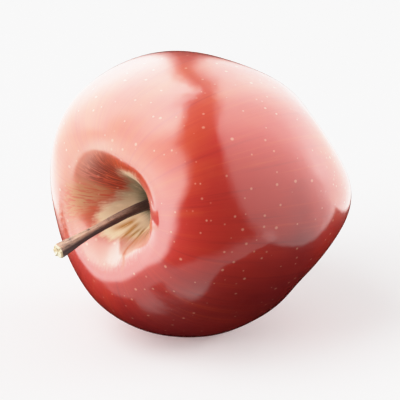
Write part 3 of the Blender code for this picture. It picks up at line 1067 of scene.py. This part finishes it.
def build_stamens(count, material):
    """Withered stamens: bent tapering threads with a small knob at each tip, joined as one piece.

    Thread k stands at the golden angle times k; its radius is a taper plus a bell at the tip.
    """
    rows, columns = 16, 7
    share = np.linspace(0.0, 1.0, rows)
    turn = 2 * np.pi * np.arange(columns) / columns
    vertices, faces = [], []
    for number in range(count):
        angle = number * GOLDEN_ANGLE
        out = TUFT_RADIUS * math.sqrt((number + 0.5) / count)
        reach = TUFT_HEIGHT * (0.72 + 0.28 * math.cos(number * 1.7))
        spread = out * (0.9 + 0.5 * share**2)
        twist = angle + 0.5 * share * math.sin(number * 2.1)
        drop = -0.0003 - reach * share
        line = np.stack([spread * np.cos(twist), spread * np.sin(twist), drop], axis=-1)
        width = 0.00011 * (1 - 0.4 * share) + 0.00013 * np.exp(-(((share - 0.93) / 0.07) ** 2))
        ring = np.stack([np.cos(turn), np.sin(turn), np.zeros(columns)], axis=-1)
        points = line[:, None, :] + ring[None, :, :] * width[:, None, None] + BASIN_FLOOR
        faces += closed_tube_faces(rows, columns, first=len(vertices) * (rows * columns + 2))
        vertices.append(tube_vertices(points, points[0].mean(axis=0), points[-1].mean(axis=0)))
    return mesh_piece("stamen_threads", lay_down(np.concatenate(vertices)), faces, material)


# ---------------------------------------------------------------------------------------------
# Stage
# ---------------------------------------------------------------------------------------------

def build_floor(colour, glow):
    """A wide plain floor just under the apple, whose far edge sweeps up on all sides.

    Height is zero out to the flat radius and then sweep (distance - flat radius)^2.
    """
    rings, turns = 40, 96
    low = CAD_BOX[0].z - FLOOR_GAP
    distance, turn = np.meshgrid(
        np.linspace(0.02, FLOOR_RADIUS, rings), 2 * np.pi * np.arange(turns) / turns, indexing="ij",
    )
    height = low + FLOOR_SWEEP * np.maximum(distance - FLOOR_FLAT_RADIUS, 0.0) ** 2
    points = np.stack([distance * np.cos(turn), distance * np.sin(turn), height], axis=-1)
    row, column = np.meshgrid(np.arange(rings - 1), np.arange(turns), indexing="ij")
    ahead = (column + 1) % turns
    faces = np.stack([
        row * turns + column, (row + 1) * turns + column,
        (row + 1) * turns + ahead, row * turns + ahead,
    ], axis=-1).reshape(-1, 4).tolist()
    faces.append(list(range(turns)))
    material, _, shader = new_material("floor")
    shader.inputs["Base Color"].default_value = (*colour, 1.0)
    shader.inputs["Roughness"].default_value = 0.9
    shader.inputs["Specular IOR Level"].default_value = 0.1
    shader.inputs["Emission Color"].default_value = (1.0, 1.0, 1.0, 1.0)
    shader.inputs["Emission Strength"].default_value = glow
    floor = mesh_piece("floor", points.reshape(-1, 3), faces, material)
    floor.visible_glossy = False
    floor.visible_diffuse = False
    floor.visible_shadow = False


def smooth_step(value, start, end):
    """3x^2 - 2x^3 of the value's share of the way from start to end."""
    share = np.clip((value - start) / (end - start), 0.0, 1.0)
    return share * share * (3.0 - 2.0 * share)


def panel_glow(sideways, over, panel):
    """Brightness of one side: nothing up to its edge, then near + (far - near) share^2.

    The share runs from 0 at the edge to 1 at the rim.
    """
    edge, softness, near, far = (np.interp(over, TENT_OVER, row) for row in panel)
    level = near + (far - near) * np.clip((sideways - edge) / (TENT_RIM - edge), 0.0, 1.0) ** 2
    return level * smooth_step(sideways, edge, edge + softness)


def tent_glow(sideways, over, settings):
    """Brightness of the tent at angles sideways (left negative) and over the top, in degrees.

    The two panels' brightness, and a faint patch of lit table low in front and to the left.
    Across the end band it eases to the brightness of that end.
    """
    left = panel_glow(-sideways, over, LEFT_PANEL) * settings.left_panel
    right = panel_glow(sideways, over, RIGHT_PANEL) * settings.right_panel
    low = np.where(over > 250.0, over - 360.0, over)
    upper = np.interp(sideways, *TABLE_UPPER)
    lower = np.interp(sideways, *TABLE_LOWER)
    outer = np.interp(low, *TABLE_RIGHT)
    table = smooth_step(low, lower - 5, lower + 4) * smooth_step(low, upper + 6, upper - 5)
    table = table * smooth_step(sideways, outer + 1, outer - 3) * smooth_step(sideways, -64, -56)
    glow = left + right + settings.table_glow * table
    left_end = LEFT_END_GLOW * settings.left_panel
    right_end = RIGHT_END_GLOW * settings.right_panel
    at_end = smooth_step(np.abs(sideways), *TENT_END_BAND)
    return glow * (1.0 - at_end) + np.where(sideways < 0, left_end, right_end) * at_end


def build_tent(settings):
    """A ball of white cloth round the apple, seen only in its gloss.

    A point at angles (sideways, over) is distance times (sin s, -cos s cos o, cos s sin o).
    """
    rows, columns = 121, 300
    sideways, over = np.meshgrid(
        np.linspace(-89.9, 89.9, rows), np.linspace(-90, 270, columns), indexing="ij",
    )
    out = np.cos(np.radians(sideways))
    lift = np.radians(over)
    points = TENT_DISTANCE * np.stack(
        [np.sin(np.radians(sideways)), -out * np.cos(lift), out * np.sin(lift)], axis=-1,
    )
    row, column = np.meshgrid(np.arange(rows - 1), np.arange(columns - 1), indexing="ij")
    corner = row * columns + column
    faces = np.stack([corner, corner + 1, corner + columns + 1, corner + columns], axis=-1)
    material = bpy.data.materials.new("tent_glow")
    material.use_nodes = True
    tree = material.node_tree
    tree.nodes.clear()
    glow = add_node(tree, "ShaderNodeEmission", {
        "Color": (1.0, 0.99, 0.965, 1.0), "Strength": attribute(tree, "glow", "Fac"),
    })
    add_node(tree, "ShaderNodeOutputMaterial", {"Surface": glow.outputs[0]})
    tent = mesh_piece("light_tent", points.reshape(-1, 3), faces.reshape(-1, 4).tolist(), material)
    store_values(tent.data, "glow", "FLOAT", tent_glow(sideways, over, settings))
    tent.visible_camera = False
    tent.visible_diffuse = False
    tent.visible_shadow = False
    tent.visible_transmission = False


def build_lamp(name, place, size, power):
    """A square soft light that looks at the apple and that the gloss doesn't show."""
    light = bpy.data.lights.new(name, "AREA")
    light.shape = "SQUARE"
    light.size = size
    light.energy = power
    lamp = bpy.data.objects.new(name, light)
    bpy.context.scene.collection.objects.link(lamp)
    lamp.location = place
    middle = (CAD_BOX[0] + CAD_BOX[1]) / 2
    lamp.rotation_euler = (middle - lamp.location).to_track_quat("-Z", "Y").to_euler()
    lamp.visible_glossy = False


def build_surround(above, below):
    """Even white light from all round, weaker from below, which the gloss doesn't show."""
    world = bpy.data.worlds.new("surround")
    world.use_nodes = True
    tree = world.node_tree
    way = add_node(tree, "ShaderNodeTexCoord", {}).outputs["Generated"]
    height = add_node(tree, "ShaderNodeSeparateXYZ", {0: way}).outputs["Z"]
    level = ease(tree, height, -0.25, 0.15, below, above)
    tree.links.new(level, tree.nodes["Background"].inputs["Strength"])
    tree.nodes["Background"].inputs["Color"].default_value = (1.0, 1.0, 1.0, 1.0)
    bpy.context.scene.world = world
    world.cycles_visibility.glossy = False


def build_camera(settings):
    """A long lens that looks along +Y and down at the middle of the apple."""
    camera = bpy.data.cameras.new("camera")
    camera.sensor_width = SENSOR_WIDTH
    camera.lens = settings.focal_length
    holder = bpy.data.objects.new("camera", camera)
    bpy.context.scene.collection.objects.link(holder)
    middle = (CAD_BOX[0] + CAD_BOX[1]) / 2
    lift = settings.camera_elevation
    back = Vector((0.0, -math.cos(lift), math.sin(lift)))
    holder.location = middle + back * settings.camera_distance
    holder.rotation_euler = (-back).to_track_quat("-Z", "Y").to_euler()
    bpy.context.scene.camera = holder


def soften_highlights(view):
    """Plain colours up to mid-tones; brighter ones roll off towards white instead of clipping."""
    view.view_transform = "Standard"
    view.use_curve_mapping = True
    mapping = view.curve_mapping
    mapping.use_clip = True
    mapping.clip_max_x = BRIGHTEST
    curve = mapping.curves[3]
    curve.points[1].location = (BRIGHTEST, 1.0)
    for place in HIGHLIGHT_CURVE:
        curve.points.new(*place)
    mapping.update()


# ---------------------------------------------------------------------------------------------
# Operators, panel and registration
# ---------------------------------------------------------------------------------------------

class APPLE_OT_fruit(bpy.types.Operator):
    """Make the skin of the fruit"""

    bl_idname = "apple.make_fruit"
    bl_label = "Make fruit"

    def execute(self, context):
        finish_piece(build_fruit(context.scene.apple_fruit), "skin", "fruit")
        return {"FINISHED"}


class APPLE_OT_stem(bpy.types.Operator):
    """Make the woody stem"""

    bl_idname = "apple.make_stem"
    bl_label = "Make stem"

    def execute(self, context):
        finish_piece(build_stem(context.scene.apple_stem), "bark", "stem")
        return {"FINISHED"}


class APPLE_OT_sepals(bpy.types.Operator):
    """Make the five dried sepals"""

    bl_idname = "apple.make_sepals"
    bl_label = "Make sepals"

    def execute(self, context):
        looks = context.scene.apple_calyx
        material = dried_material(
            "dried_sepal", looks.leaf_dark, looks.leaf_pale, looks.down_colour, 0.9, 2600.0,
        )
        for number in range(1, SEPALS + 1):
            piece = build_sepal(number, looks.down_hairs, material)
            finish_piece(piece, "dried_leaf", f"sepal_{number}")
        return {"FINISHED"}


class APPLE_OT_stamens(bpy.types.Operator):
    """Make the withered stamens"""

    bl_idname = "apple.make_stamens"
    bl_label = "Make stamens"

    def execute(self, context):
        looks = context.scene.apple_calyx
        material = dried_material(
            "withered_stamen", looks.stamen_dark, looks.stamen_pale, looks.down_colour, 0.85, 4200.0,
        )
        finish_piece(build_stamens(looks.stamens, material), "stamens", "stamen_tuft")
        return {"FINISHED"}


class APPLE_OT_stage(bpy.types.Operator):
    """Set up the floor, the soft lights and the camera"""

    bl_idname = "apple.make_stage"
    bl_label = "Make stage"

    def execute(self, context):
        settings = context.scene.apple_stage
        build_floor(settings.floor_colour, settings.floor_glow)
        build_tent(settings)
        for name, place, size, power in LAMPS:
            build_lamp(name, place, size, getattr(settings, power))
        build_surround(settings.surround_above, settings.surround_below)
        build_camera(settings)
        soften_highlights(context.scene.view_settings)
        return {"FINISHED"}


class APPLE_PT_panel(bpy.types.Panel):
    """Lists the apple's pieces and their settings"""

    bl_idname = "APPLE_PT_panel"
    bl_label = "Apple"
    bl_space_type = "VIEW_3D"
    bl_region_type = "UI"
    bl_category = "Apple"

    def draw(self, context):
        for operators, group in PANEL_ROWS:
            box = self.layout.box()
            for operator in operators:
                box.operator(operator.bl_idname)
            settings = getattr(context.scene, group)
            for name in settings.bl_rna.properties.keys():
                if name not in ("rna_type", "name"):
                    box.prop(settings, name)


PANEL_ROWS = (
    ((APPLE_OT_fruit,), "apple_fruit"),
    ((APPLE_OT_stem,), "apple_stem"),
    ((APPLE_OT_sepals, APPLE_OT_stamens), "apple_calyx"),
    ((APPLE_OT_stage,), "apple_stage"),
)
GROUPS = {
    "apple_fruit": APPLE_PG_fruit,
    "apple_stem": APPLE_PG_stem,
    "apple_calyx": APPLE_PG_calyx,
    "apple_stage": APPLE_PG_stage,
}
CLASSES = (
    *GROUPS.values(), APPLE_OT_fruit, APPLE_OT_stem, APPLE_OT_sepals, APPLE_OT_stamens,
    APPLE_OT_stage, APPLE_PT_panel,
)


def register():
    """Register every class and hang the settings on the scene."""
    for item in CLASSES:
        bpy.utils.register_class(item)
    for name, group in GROUPS.items():
        setattr(bpy.types.Scene, name, PointerProperty(type=group))


def unregister():
    """Take the settings off the scene and unregister every class."""
    for name in GROUPS:
        delattr(bpy.types.Scene, name)
    for item in reversed(CLASSES):
        bpy.utils.unregister_class(item)


def main():
    """Register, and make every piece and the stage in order."""
    register()
    bpy.ops.apple.make_fruit()
    bpy.ops.apple.make_stem()
    bpy.ops.apple.make_sepals()
    bpy.ops.apple.make_stamens()
    bpy.ops.apple.make_stage()


if __name__ == "__main__":
    main()
